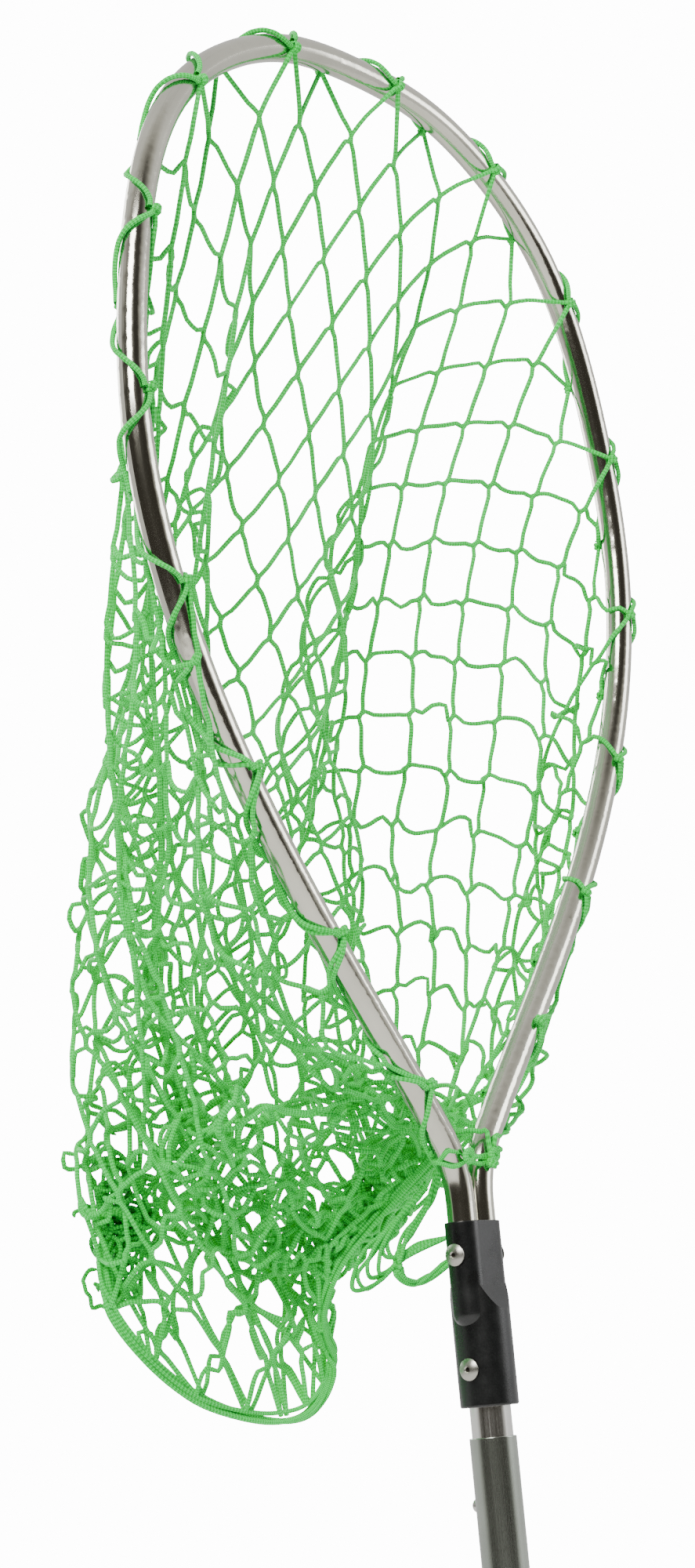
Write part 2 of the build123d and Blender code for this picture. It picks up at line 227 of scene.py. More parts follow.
def onTube(arc, angle, radius):
    # angle 0 faces the mouth's middle, a quarter turn the front, half a turn the outside
    arc = np.atleast_1d(np.asarray(arc, float))
    middle = np.stack([np.interp(arc, tubeArcs, tubeLine[:, k]) for k in range(3)], 1)
    tangent = np.stack([np.interp(arc, tubeArcs, tubeTangent[:, k]) for k in range(3)], 1)
    inward = np.stack([-tangent[:, 2], 0 * arc, tangent[:, 0]], 1)
    angle = np.broadcast_to(np.radians(angle), arc.shape)[:, None]
    reach = np.broadcast_to(radius, arc.shape)[:, None]
    return middle + (inward * np.cos(angle) + np.array([0, -1, 0]) * np.sin(angle)) * reach


# finishes
def nodeGroup(name, inputs, outputs):
    group = bpy.data.node_groups.new(name, "ShaderNodeTree")
    for label, kind, value in inputs:
        socket = group.interface.new_socket(name=label, in_out="INPUT", socket_type=kind)
        if value is not None:
            socket.default_value = value
    for label, kind in outputs:
        group.interface.new_socket(name=label, in_out="OUTPUT", socket_type=kind)
    return group, group.nodes.new("NodeGroupInput"), group.nodes.new("NodeGroupOutput")


class Wires:
    # a short way to add and join nodes in one tree
    def __init__(self, tree):
        self.tree = tree

    def add(self, kind, **values):
        node = self.tree.nodes.new(kind)
        for key, value in values.items():
            setattr(node, key, value)
        return node

    def join(self, start, end):
        self.tree.links.new(start, end)

    def feed(self, socket, value):
        if isinstance(value, bpy.types.NodeSocket):
            self.join(value, socket)
        else:
            socket.default_value = value

    def maths(self, operation, *values, clamp=False):
        node = self.add("ShaderNodeMath", operation=operation, use_clamp=clamp)
        for i, value in enumerate(values):
            self.feed(node.inputs[i], value)
        return node.outputs[0]

    def noise(self, vector, scale, detail=3.0, roughness=0.5, distortion=0.0):
        node = self.add("ShaderNodeTexNoise")
        self.join(vector, node.inputs["Vector"])
        self.feed(node.inputs["Scale"], scale)
        node.inputs["Detail"].default_value = detail
        node.inputs["Roughness"].default_value = roughness
        node.inputs["Distortion"].default_value = distortion
        return node.outputs["Fac"]

    def stretch(self, vector, factors):
        node = self.add("ShaderNodeVectorMath", operation="MULTIPLY")
        self.join(vector, node.inputs[0])
        self.feed(node.inputs[1], factors)
        return node.outputs[0]

    def ramp(self, value, stops):
        node = self.add("ShaderNodeValToRGB")
        self.join(value, node.inputs[0])
        ramp = node.color_ramp
        while len(ramp.elements) < len(stops):
            ramp.elements.new(0.5)
        for element, (place, colour) in zip(ramp.elements, stops):
            element.position = place
            element.color = (*colour, 1) if len(colour) == 3 else colour
        return node.outputs[0]

    def levels(self, value, low, high, toLow=0.0, toHigh=1.0):
        node = self.add("ShaderNodeMapRange")
        for socket, number in zip(node.inputs, (value, low, high, toLow, toHigh)):
            self.feed(socket, number)
        return node.outputs[0]

    def blendColours(self, factor, first, second, mode="MIX"):
        node = self.add("ShaderNodeMix", data_type="RGBA", blend_type=mode)
        self.feed(node.inputs[0], factor)
        self.feed(node.inputs[6], first)
        self.feed(node.inputs[7], second)
        return node.outputs[2]

    def bump(self, height, strength, distance, normal=None):
        node = self.add("ShaderNodeBump")
        node.inputs["Strength"].default_value = strength
        node.inputs["Distance"].default_value = distance
        self.join(height, node.inputs["Height"])
        if normal is not None:
            self.join(normal, node.inputs["Normal"])
        return node.outputs[0]

    def use(self, group, **values):
        node = self.add("ShaderNodeGroup", node_tree=group)
        for key, value in values.items():
            self.feed(node.inputs[key], value)
        return node.outputs


def newFinish(name):
    material = bpy.data.materials.new(name)
    material.use_nodes = True
    wires = Wires(material.node_tree)
    shader = material.node_tree.nodes["Principled BSDF"]
    return material, wires, shader


def braidGroup():
    # crossing carriers of a braid, from metres along and a turn round
    group, start, end = nodeGroup(
        "Braid weave",
        [
            ("Along", "NodeSocketFloat", 0.0),
            ("Around", "NodeSocketFloat", 0.0),
            ("Pitch", "NodeSocketFloat", 400.0),
        ],
        [("Height", "NodeSocketFloat"), ("Over", "NodeSocketFloat")],
    )
    w = Wires(group)
    turns = w.maths("MULTIPLY", start.outputs["Along"], start.outputs["Pitch"])
    sweep = w.maths("MULTIPLY", start.outputs["Around"], 4.0)
    waves = []
    for operation in ("ADD", "SUBTRACT"):
        phase = w.maths("MULTIPLY", w.maths(operation, turns, sweep), math.tau)
        waves.append(w.maths("SINE", phase))
    product = w.maths("MULTIPLY", waves[0], waves[1])
    w.join(w.maths("MULTIPLY_ADD", product, 0.5, 0.5), end.inputs["Height"])
    w.join(w.maths("MULTIPLY_ADD", waves[0], 0.5, 0.5), end.inputs["Over"])
    return group


def drawnGroup():
    # lines and scuffs that run the way a tube was drawn
    group, start, end = nodeGroup(
        "Drawn lines",
        [
            ("Vector", "NodeSocketVector", None),
            ("Squeeze", "NodeSocketVector", (1.0, 1.0, 1.0)),
            ("Fine", "NodeSocketFloat", 40.0),
        ],
        [("Lines", "NodeSocketFloat"), ("Scuffs", "NodeSocketFloat"), ("Cloud", "NodeSocketFloat")],
    )
    w = Wires(group)
    squeezed = w.stretch(start.outputs["Vector"], start.outputs["Squeeze"])
    w.join(w.noise(squeezed, start.outputs["Fine"], 5.0, 0.7), end.inputs["Lines"])
    marks = w.noise(squeezed, w.maths("MULTIPLY", start.outputs["Fine"], 0.35), 6.0, 0.75, 0.4)
    w.join(w.levels(marks, 0.56, 0.66), end.inputs["Scuffs"])
    w.join(w.noise(start.outputs["Vector"], 22.0, 4.0, 0.6), end.inputs["Cloud"])
    return group


def pebbleGroup():
    # the fine pebble of a spark-etched mould, with handling shine
    group, start, end = nodeGroup(
        "Moulded pebble",
        [("Vector", "NodeSocketVector", None), ("Grain", "NodeSocketFloat", 1400.0)],
        [("Height", "NodeSocketFloat"), ("Shine", "NodeSocketFloat"), ("Dust", "NodeSocketFloat")],
    )
    w = Wires(group)
    cells = w.add("ShaderNodeTexVoronoi", feature="SMOOTH_F1")
    w.join(start.outputs["Vector"], cells.inputs["Vector"])
    w.join(start.outputs["Grain"], cells.inputs["Scale"])
    w.join(cells.outputs["Distance"], end.inputs["Height"])
    w.join(w.noise(start.outputs["Vector"], 60.0, 4.0, 0.6), end.inputs["Shine"])
    w.join(w.levels(w.noise(start.outputs["Vector"], 900.0, 2.0, 0.5), 0.6, 0.8), end.inputs["Dust"])
    return group


braidWeave = braidGroup()
drawnLines = drawnGroup()
mouldedPebble = pebbleGroup()

# the twine's own green body, with painted shade for the braid's grooves and a painted highlight for its crowns
twineColours = {
    "deep": (0.000, 0.130, 0.010),
    "body": (0.002, 0.600, 0.045),
    "light": (0.110, 0.980, 0.220),
    "roughness": 0.6,
}


def twineFinish(name, paintedShade=0.0):
    material, w, shader = newFinish(name)
    uv = w.add("ShaderNodeUVMap")
    split = w.add("ShaderNodeSeparateXYZ")
    w.join(uv.outputs[0], split.inputs[0])
    weave = w.use(braidWeave, Along=split.outputs[0], Around=split.outputs[1], Pitch=330.0)
    place = w.add("ShaderNodeTexCoord").outputs["Object"]
    drift = w.noise(place, 18.0, 3.0, 0.6)
    speck = w.noise(place, 500.0, 2.0, 0.7)
    # colour from the braid's height: painted shade in the grooves and painted highlight on the crowns, with
    # random speck and drift tone on top
    tone = w.maths("ADD", w.maths("MULTIPLY", weave["Height"], 0.55), w.maths("MULTIPLY", speck, 0.25))
    tone = w.maths("ADD", tone, w.maths("MULTIPLY", drift, 0.35))
    # an even painted shade that darkens the whole copy
    tone = w.maths("SUBTRACT", tone, paintedShade, clamp=True)
    stops = [(0.12, twineColours["deep"]), (0.5, twineColours["body"]), (0.92, twineColours["light"])]
    colour = w.ramp(tone, stops)
    w.join(colour, shader.inputs["Base Color"])
    shader.inputs["Roughness"].default_value = twineColours["roughness"]
    shader.inputs["Specular IOR Level"].default_value = 0.25
    w.join(w.bump(weave["Height"], 0.7, 0.0003), shader.inputs["Normal"])
    return material


def metalFinish(name, tint, squeeze, fine, base, spread, bumpHeight=0.00002):
    material, w, shader = newFinish(name)
    place = w.add("ShaderNodeTexCoord").outputs["Object"]
    drawn = w.use(drawnLines, Vector=place, Squeeze=squeeze, Fine=fine)
    shade = w.levels(drawn["Cloud"], 0.3, 0.7, 0.0, 1.0)
    dark = tuple(c * 0.82 for c in tint)
    colour = w.blendColours(shade, (*dark, 1), (*tint, 1))
    colour = w.blendColours(w.maths("MULTIPLY", drawn["Scuffs"], 0.35), colour, (*[c * 0.62 for c in tint], 1))
    w.join(colour, shader.inputs["Base Color"])
    rough = w.levels(drawn["Lines"], 0.3, 0.7, base - spread, base + spread)
    rough = w.maths("ADD", rough, w.maths("MULTIPLY", drawn["Scuffs"], spread * 1.2), clamp=True)
    w.join(rough, shader.inputs["Roughness"])
    shader.inputs["Metallic"].default_value = 1.0
    w.join(w.bump(drawn["Lines"], 0.5, bumpHeight), shader.inputs["Normal"])
    return material


def plasticFinish(name, tint, grain, rough, bumpHeight=0.00008):
    material, w, shader = newFinish(name)
    place = w.add("ShaderNodeTexCoord").outputs["Object"]
    pebble = w.use(mouldedPebble, Vector=place, Grain=grain)
    dusty = tuple(min(c * 2.2 + 0.02, 1) for c in tint)
    colour = w.blendColours(w.maths("MULTIPLY", pebble["Dust"], 0.35), (*tint, 1), (*dusty, 1))
    w.join(colour, shader.inputs["Base Color"])
    w.join(w.levels(pebble["Shine"], 0.3, 0.7, rough - 0.08, rough + 0.1), shader.inputs["Roughness"])
    shader.inputs["Specular IOR Level"].default_value = 0.5
    w.join(w.bump(pebble["Height"], 0.6, bumpHeight), shader.inputs["Normal"])
    return material


print("making the finishes")
greenTwine = twineFinish("Green braided twine")
# a darker copy of the same twine: painted shade among the gather's loops
shadedGatherTwine = twineFinish("Green twine in the gather with painted shade", 0.16)
hoopMetal = metalFinish("Bright bent tube", (0.60, 0.585, 0.50), (9.0, 3600.0, 9.0), 1.0, 0.15, 0.03, 0.000006)
innerMetal = metalFinish("Bright drawn tube", (0.80, 0.79, 0.75), (900.0, 900.0, 9.0), 1.0, 0.20, 0.07)
outerMetal = metalFinish("Satin drawn tube", (0.40, 0.43, 0.38), (3600.0, 3600.0, 8.0), 1.0, 0.25, 0.03, 0.000006)
rivetMetal = metalFinish("Rivet", (0.40, 0.39, 0.35), (300.0, 300.0, 300.0), 1.0, 0.33, 0.08)
# near black: painted shade for the rivets' hollow centres, not the stem metal's own colour
shadedStemMetal = metalFinish("Broken stem in painted shade", (0.04, 0.036, 0.03), (500.0, 500.0, 500.0), 1.0, 0.5, 0.12)
buttonMetal = metalFinish("Plated button", (0.55, 0.54, 0.52), (400.0, 400.0, 400.0), 1.0, 0.26, 0.06)
springMetal = metalFinish("Spring strip", (0.42, 0.41, 0.39), (700.0, 700.0, 20.0), 1.0, 0.36, 0.08)
yokePlastic = plasticFinish("Black moulded yoke", (0.004, 0.0045, 0.0045), 1500.0, 0.30, 0.00004)
bushPlastic = plasticFinish("Black bush", (0.020, 0.020, 0.020), 900.0, 0.5)
gripRubber = plasticFinish("Black grip", (0.016, 0.016, 0.017), 1100.0, 0.66, 0.00015)
capPlastic = plasticFinish("Black cap", (0.014, 0.014, 0.015), 1000.0, 0.5)

finishOf = {
    "hoop": hoopMetal,
    "yoke": yokePlastic,
    "inner_tube": innerMetal,
    "outer_tube": outerMetal,
    "snap_button": buttonMetal,
    "lower_button": buttonMetal,
    "snap_spring": springMetal,
    "lower_spring": springMetal,
    "tube_bush": bushPlastic,
    "grip": gripRubber,
    "end_cap": capPlastic,
}
for name, node in cadNodes.items():
    finish = finishOf.get(name)
    if name.startswith("rivet"):
        finish = rivetMetal
    if name.startswith("stem"):
        finish = shadedStemMetal
    if finish is not None:
        node.data.materials.clear()
        node.data.materials.append(finish)

# the netting: a net of ropes that hangs from the tube
netPlan = {
    "round": 34,  # meshes round the mouth
    "rows": 26,
    "bar": 0.032,  # from joint to joint
    "twine": 0.00140,  # radius
    "links": 4,  # in each bar
    "start": 0.075,  # along the tube from a leg's end to the first mesh
    "seed": 1,
    "hold": 420.0,  # how hard the drape is held to the wall it was laid on
    "open": 0.3,
    "bottom": [
        (0.020, 0.028, 0.044),
        (0.011, 0.060, 0.019),
        (-0.011, 0.085, -0.013),
        (-0.012, 0.098, -0.042),
        (0.002, 0.104, -0.064),
        (-0.011, 0.111, -0.089),
        (-0.046, 0.119, -0.092),
        (-0.099, 0.131, -0.071),
        (-0.137, 0.143, -0.024),
        (-0.123, 0.151, 0.016),
    ],
    "upperBow": [
        (0.070, 0.012, 0.010),
        (0.060, 0.026, -0.020),
        (-0.060, 0.060, 0.040),
        (-0.075, 0.065, 0.050),
        (-0.060, 0.050, 0.050),
        (-0.030, 0.040, 0.020),
        (-0.010, 0.030, 0),
        (-0.005, 0.024, 0),
        (-0.010, 0.022, -0.020),
        (-0.016, 0.028, -0.030),
        (-0.030, 0.040, -0.040),
        (-0.034, 0.036, -0.040),
        (0, 0.010, 0),
    ],
    "lowerBow": [
        (0.060, 0.012, -0.010),
        (0.050, 0.026, -0.030),
        (-0.045, 0.060, 0.030),
        (-0.053, 0.066, 0.050),
        (-0.050, 0.050, 0.050),
        (-0.040, 0.050, 0.020),
        (-0.050, 0.060, 0.010),
        (-0.070, 0.074, 0.020),
        (-0.090, 0.080, 0.030),
        (-0.098, 0.076, 0.020),
        (-0.080, 0.056, 0),
        (-0.044, 0.034, -0.010),
        (0, 0.010, 0),
    ],
    "panel": {
        "edge": (0.222, 0.012),
        "way": (0.93, 0.557),
        "firstUpright": 8.5,
        "lastUpright": 15.4,
        "lowest": -0.5,
        "open": 0.97,  # of a bar
        "foldAside": 0.20,
        "slope": 0.15,
        "sag": 0.0,
        "midZ": 0.38,
        "midLevel": 6.4,
        "settleRows": 3.0,
        "hold": 1600.0,
        "looseShare": 0.5,
    },
    "deepest": 0.160,  # where the back wall stops bulging
    "crumple": 0.020,
    "bunch": 0.05,  # slack gathered half way down
    "lean": -5.0,  # downward pull
    "jitter": 0.0012,
    "steps": ((700, 0.0, 1.0, 3.0), (900, 0.3, 1.1, 2.0)),  # count, pull in x, in y, damping
}


class HangingNet:
    # joints in rows that shift by half a mesh, bars of a fixed length between them
    def __init__(self, plan):
        self.plan = plan
        count, rows, links = plan["round"], plan["rows"], plan["links"]
        rng = np.random.default_rng(plan["seed"])
        first, last = plan["start"], tubeArcs[-1] - plan["start"]
        self.firstArcs = np.linspace(first, last, count)
        self.side = np.where(np.arange(count) % 2 == 0, 90.0, 270.0)
        angles = self.side - np.sign(self.side - 180) * -12
        grid = [onTube(self.firstArcs, angles, tubeRadius + 1.2 * plan["twine"])]
        for row in range(1, rows + 1):
            share = (np.arange(count) + 0.5 * (row % 2)) / (count - 1)
            arcs = first + (last - first) * np.clip(share, 0, 1)
            share = np.minimum(share, 1)
            mouth = onTube(arcs, 0, 0) - [0, 0, neckZ] + [0, 0.0085, 0]
            foot = pathAt(plan["bottom"], 1 - np.abs(2 * share - 1))
            foot[:, 0] += np.where(share < 0.5, 0.003, -0.003)
            v = row / rows + plan["bunch"] * math.sin(math.tau * row / rows)
            w = 1 - v
            upper = mouth + (foot - mouth) * 0.33 + pathAt(plan["upperBow"], share)
            lower = mouth + (foot - mouth) * 0.67 + pathAt(plan["lowerBow"], share)
            wall = mouth * w**3 + upper * 3 * v * w * w + lower * 3 * v * v * w + foot * v**3
            grid.append(wall + [0, 0, neckZ])
        self.laid = np.array(grid)
        self.layPanel()
        self.joint = np.arange((rows + 1) * count).reshape(rows + 1, count)
        self.below = np.zeros((rows, count, 2), int)  # the two joints under each joint
        for row in range(rows):
            i = np.arange(count)
            self.below[row, :, 0] = (i - 1) % count if row % 2 == 0 else i
            self.below[row, :, 1] = i if row % 2 == 0 else (i + 1) % count
        bars, family = [], []
        for row in range(rows):
            for k in (0, 1):
                bars.append(np.stack([self.joint[row], self.joint[row + 1][self.below[row, :, k]]], 1))
                family.append(np.full(count, k))
        self.bars, self.family = np.concatenate(bars), np.concatenate(family)
        points = [self.laid.reshape(-1, 3)]
        top, foot = points[0][self.bars[:, 0]], points[0][self.bars[:, 1]]
        for k in range(1, links):
            points.append(top + (foot - top) * k / links + rng.normal(0, plan["jitter"], top.shape))
        total, barCount = self.laid.size // 3, len(self.bars)
        inner = [total + barCount * k + np.arange(barCount) for k in range(links - 1)]
        self.chain = np.stack([self.bars[:, 0], *inner, self.bars[:, 1]], 1)
        self.points = np.concatenate(points)
        self.total = total
        self.link = plan["bar"] / links
        self.free = np.ones(len(self.points))
        self.free[self.joint[0]] = 0
        self.speed = np.zeros_like(self.points)
        self.stretchSets, self.bendSets = [], []
        for k in (0, 1):
            part = self.chain[self.family == k]
            self.stretchSets += [(part[:, j], part[:, j + 1]) for j in range(links)]
            self.bendSets += [(part[:, j], part[:, j + 2]) for j in range(links - 1)]
        self.openSets = self.diamonds()
        i = np.arange(count)
        other = (count - 1 - rows % 2 - i) % count
        self.pairs = np.array([(self.joint[rows, a], self.joint[rows, b]) for a, b in zip(i, other) if a < b])
        self.seamPlaces = pathAt(plan["bottom"], np.linspace(0, 1, len(self.pairs))) + [0, 0, neckZ]
        guide = pathAt(plan["bottom"], np.linspace(0, 1, 200))
        self.guide = guide[np.argsort(guide[:, 1])]

    def crumpled(self, row, i):
        # slow waves in each direction, none at the tube and the bottom
        rng = np.random.default_rng(self.plan["seed"] + 7)
        waves = np.zeros((*row.shape, 3))
        around = math.tau * i / self.plan["round"]
        for axis in range(3):
            for _ in range(7):
                turns, rows = rng.integers(3, 9), rng.uniform(0.35, 1.1)
                waves[..., axis] += np.sin(turns * around + rows * row + rng.uniform(0, 7)) / 2.6
        share = row / self.plan["rows"]
        return waves * (smoothStep(share * 3) * smoothStep((1 - share) * 5))[..., None]

    def layPanel(self):
        # the right wall hangs as a level and upright grid between the tube and a fold
        plan, panel = self.plan, self.plan["panel"]
        row, i = np.meshgrid(np.arange(plan["rows"] + 1), np.arange(plan["round"]), indexing="ij")
        place = i + 0.5 * (row % 2)
        level, upright = place - row / 2, place + row / 2
        aside = plan["bar"] * panel["open"] * (upright - panel["firstUpright"]) + 0.006
        spot = np.zeros((*row.shape, 3))
        spot[..., 0] = panel["edge"][0] - aside * panel["way"][0]
        spot[..., 1] = panel["edge"][1] + aside * panel["way"][1]
        lowered = panel["slope"] * (panel["foldAside"] - aside)
        spot[..., 2] = neckZ + panel["midZ"] + plan["bar"] * panel["open"] * (level - panel["midLevel"]) - lowered
        spot[..., 2] -= panel["sag"] * np.clip((upright - panel["firstUpright"]) / 6, 0, 1)
        near = smoothStep(row / panel["settleRows"])[..., None]
        start = self.laid[0][np.minimum(place.astype(int), plan["round"] - 1)]
        spot = start * (1 - near) + spot * near
        inside = (upright >= panel["firstUpright"]) & (upright <= panel["lastUpright"])
        inside &= (level >= panel["lowest"]) & (row > 0)
        self.target = self.laid + self.crumpled(row, i) * plan["crumple"]
        self.target[inside] = spot[inside]
        rightSide = (place < panel["lastUpright"]) & ~inside
        hold = np.full(row.shape, plan["hold"])
        hold[rightSide] = plan["hold"] * panel["looseShare"]
        hold[inside] = panel["hold"]
        self.holdBy = hold.reshape(-1, 1)

    def diamonds(self):
        rows, count = self.plan["rows"], self.plan["round"]
        sets = {}
        for row in range(rows):
            for i in range(count):
                a, b = self.below[row, i]
                level = (self.joint[row + 1, a], self.joint[row + 1, b])
                sets.setdefault((0, (row + 1) % 2, a % 2), []).append(level)
                if row < rows - 1:
                    upright = (self.joint[row, i], self.joint[row + 2, i])
                    sets.setdefault((1, row % 2, row % 4 // 2), []).append(upright)
        return [tuple(np.array(pairs).T) for pairs in sets.values()]

    def pull(self, a, b, length, share=1.0, apartOnly=False):
        gap = self.points[b] - self.points[a]
        far = np.sqrt((gap * gap).sum(1)) + 1e-12
        wrong = far - length
        if apartOnly:
            wrong = np.minimum(wrong, 0)
        weight = self.free[a] + self.free[b] + 1e-12
        move = (share * wrong / far / weight)[:, None] * gap
        self.points[a] += move * self.free[a][:, None]
        self.points[b] -= move * self.free[b][:, None]

    def settle(self):
        step = 0.002
        for count, pullX, pullY, damping in self.plan["steps"]:
            force = np.array([pullX, pullY, self.plan["lean"]])
            for turn in range(count):
                self.speed += force * step
                toWall = self.target.reshape(-1, 3) - self.points[: self.total]
                self.speed[: self.total] += toWall * self.holdBy * step
                self.speed *= 1 - damping * step
                before = self.points.copy()
                self.points += self.speed * step * self.free[:, None]
                self.tighten(turn)
                if turn % 2 == 0:
                    self.keepOff()
                self.speed = (self.points - before) / step * self.free[:, None]
                pace = np.sqrt((self.speed**2).sum(1))
                fast = pace > 3
                self.speed[fast] *= (3 / pace[fast])[:, None]
        for turn in range(80):
            self.tighten(turn, False)
        self.keepOff()

    def tighten(self, turn, spread=True):
        order = self.stretchSets if turn % 2 == 0 else self.stretchSets[::-1]
        for a, b in order:
            self.pull(a, b, self.link)
        if spread:
            for a, b in self.bendSets:
                self.pull(a, b, self.link * 1.86, 0.4, True)
            for a, b in self.openSets:
                self.pull(a, b, self.plan["bar"] * 1.25, self.plan["open"], True)
        for k in (0, 1):
            self.points[self.pairs[:, k]] = self.seamPlaces + [0.002 - 0.004 * k, 0, 0]
        self.pull(self.pairs[:, 0], self.pairs[:, 1], 0.005)

    def keepOff(self):
        reach = tubeRadius + self.plan["twine"]
        at = np.nonzero((np.abs(self.points[:, 1]) < reach) & (self.free > 0))[0]
        if len(at):
            line, tangent = tubeLine[::4], tubeTangent[::4]
            gapX = self.points[at, None, 0] - line[None, :, 0]
            gapZ = self.points[at, None, 2] - line[None, :, 2]
            gap = gapX**2 + gapZ**2
            near = gap.argmin(1)
            out = self.points[at] - line[near]
            out -= (out * tangent[near]).sum(1)[:, None] * tangent[near]
            far = np.sqrt((out * out).sum(1)) + 1e-9
            inside = far < reach
            self.points[at[inside]] += out[inside] * ((reach - far[inside]) / far[inside])[:, None]
        y = self.points[:, 1]
        floorZ = np.interp(y, self.guide[:, 1], self.guide[:, 2])
        middle = np.interp(y, self.guide[:, 1], self.guide[:, 0])
        floorZ = neckZ + floorZ + 0.35 * np.abs(self.points[:, 0] - middle)
        self.points[:, 1] = np.minimum(y, self.plan["deepest"] + 0.4 * np.maximum(y - self.plan["deepest"], 0))
        low = (self.points[:, 2] < floorZ) & (self.free > 0)
        self.points[low, 2] = floorZ[low]
        out = np.hypot(self.points[:, 0], y)
        inYoke = (self.points[:, 2] < neckZ) & (out < 0.020) & (self.free > 0)
        for k in (0, 1):
            self.points[inYoke, k] *= 0.020 / (out[inYoke] + 1e-9)


def strandPaths(net, family):
    # each twine runs on through every joint to the bar across, and lies beside the other there
    plan = net.plan
    rows, count = plan["rows"], plan["round"]
    points, joint = net.points, net.joint
    chainOf = {(int(a), int(b)): chain for (a, b), chain in zip(net.bars, net.chain)}
    paths = []
    for i in range(count):
        at, path = i, []
        for row in range(rows):
            nextAt = net.below[row, at, family]
            chain = points[chainOf[(int(joint[row, at]), int(joint[row + 1, nextAt]))]]
            if row == 0:
                path.append(chain[0])
            path += list(chain[1:-1])
            knot = chain[-1]
            if row < rows - 1:
                ways = []
                for k in (0, 1):
                    ways.append(points[joint[row + 2, net.below[row + 1, nextAt, k]]] - knot)
                ups = []
                for above in (0, 1):
                    hit = np.nonzero(net.below[row, :, above] == nextAt)[0][0]
                    ups.append(knot - points[joint[row, hit]])
                run = ups[0] + ups[1] + ways[0] + ways[1]
                run /= np.linalg.norm(run) + 1e-9
                across = ups[1 - family] - ups[family]
                across -= run * (across @ run)
                across /= np.linalg.norm(across) + 1e-9
                outward = np.cross(run, across)
                lift = 0.55 * plan["twine"] * (1 if family == 0 else -1)
                side = 0.55 * plan["twine"]
                path.append(knot - run * 0.0030 + across * side + outward * lift)
                path.append(knot + run * 0.0030 - across * side + outward * lift)
            else:
                path.append(knot)
            at = nextAt
        paths.append(roundOff(path, 2))
    return paths


print("hanging the netting")
net = HangingNet(netPlan)
net.settle()
netPieces = []
for family in (0, 1):
    paths = strandPaths(net, family)
    piece = twineMesh(f"netting_strands_{family + 1}", paths, netPlan["twine"], seed=family)
    netPieces.append(dressPiece(piece, greenTwine, replaced=("net_bag",)))

# the strands that lace the netting to the tube
lacing = {
    "slack": 0.0004,
    "wander": 8.0,  # degrees round the tube
    "points": 13,
    "knotRadius": 0.0023,
}


def edgePaths(net, plan):
    # from each joint on the tube over its outside to the next, front to back and on
    rng = np.random.default_rng(5)
    reach = tubeRadius + 1.05 * netPlan["twine"]
    paths = []
    arcs, side = net.firstArcs, net.side
    for i in range(len(arcs) - 1):
        start, end = (78.0, 258.0) if side[i] < 180 else (282.0, 102.0)
        t = np.linspace(0, 1, plan["points"])
        lean = rng.normal(0, 0.05)
        turned = smoothStep(np.clip(t * 1.9 - (0.0 if side[i] < 180 else 0.9) + lean, 0, 1))
        middle = 180 + rng.normal(0, plan["wander"], 4)
        wobble = np.interp(t, np.linspace(0, 1, 4), middle - 180) * np.sin(np.pi * t)
        angle = start + (end - start) * (0.5 * turned + 0.5 * smoothStep(t)) + wobble
        spot = arcs[i] + (arcs[i + 1] - arcs[i]) * (t + 0.04 * np.sin(np.pi * t * 2) * rng.normal())
        height = reach + plan["slack"] * (0.5 + np.abs(rng.normal(0, 1))) * np.sin(np.pi * t)
        paths.append(roundOff(onTube(spot, angle, height), 3))
    return paths


def knotPaths(net, plan):
    # two small turns of twine at each joint on the tube
    paths = []
    t = np.linspace(0, 4.2 * math.pi, 22)
    for i, arc in enumerate(net.firstArcs):
        centre = net.laid[0, i]
        tangent = (onTube(arc + 0.004, 0, 0) - onTube(arc, 0, 0))[0]
        tangent /= np.linalg.norm(tangent)
        out = centre - onTube(arc, 0, 0)[0]
        out /= np.linalg.norm(out)
        across = np.cross(tangent, out)
        ring = across[None] * np.cos(t)[:, None] + out[None] * (np.sin(t)[:, None] * 0.75 + 0.25)
        drift = tangent[None] * np.linspace(-0.0022, 0.0022, len(t))[:, None]
        paths.append(centre + ring * plan["knotRadius"] + drift)
    return paths


print("lacing it to the tube")
edge = twineMesh("netting_edge_lacing", edgePaths(net, lacing), netPlan["twine"] * 1.04, seed=3)
dressPiece(edge, greenTwine, replaced=("net_bag",))
knots = twineMesh("netting_edge_knots", knotPaths(net, lacing), netPlan["twine"] * 0.95, seed=4, taper=True)
dressPiece(knots, greenTwine, replaced=("net_bag",))

# the bundle that closes the bottom
seamPlan = {
    "strands": 6,
    "spread": 0.0026,
    "twist": 5.0,
    "radius": 0.0013,
    "stray": 0.0010,
}


def bundlePaths(spine, plan, seed):
    rng = np.random.default_rng(seed)
    spine = roundOff(spine, 6)
    tangent = np.gradient(spine, axis=0)
    tangent /= np.linalg.norm(tangent, axis=1)[:, None] + 1e-12
    side = np.cross(tangent, [0, 0, 1])
    side /= np.linalg.norm(side, axis=1)[:, None] + 1e-9
    up = np.cross(side, tangent)
    t = np.linspace(0, 1, len(spine))
    paths = []
    for k in range(plan["strands"]):
        angle = math.tau * k / plan["strands"] + plan["twist"] * t + 0.5 * np.sin(9 * t + k)
        reach = plan["spread"] * (0.75 + 0.35 * np.sin(7 * t + 2.1 * k))
        marks = np.linspace(0, 1, 9)
        stray = np.stack([np.interp(t, marks, rng.normal(0, plan["stray"], 9)) for _ in range(3)], 1)
        ring = side * np.cos(angle)[:, None] + up * np.sin(angle)[:, None]
        paths.append(spine + ring * reach[:, None] + stray)
    return paths


print("closing the bottom")
seamSpine = net.seamPlaces - [0, 0, 0.002]
seam = twineMesh("seam_bundle", bundlePaths(seamSpine, seamPlan, 11), seamPlan["radius"], seed=6)
dressPiece(seam, greenTwine, replaced=("net_seam",))

# the gather at the back end of the seam
gatherPlan = {
    "loops": 60,
    "size": (0.005, 0.012),
    "place": (0.006, -0.002, -0.006),
    "spread": (0.007, 0.005, 0.020),
    "radius": 0.0012,
}


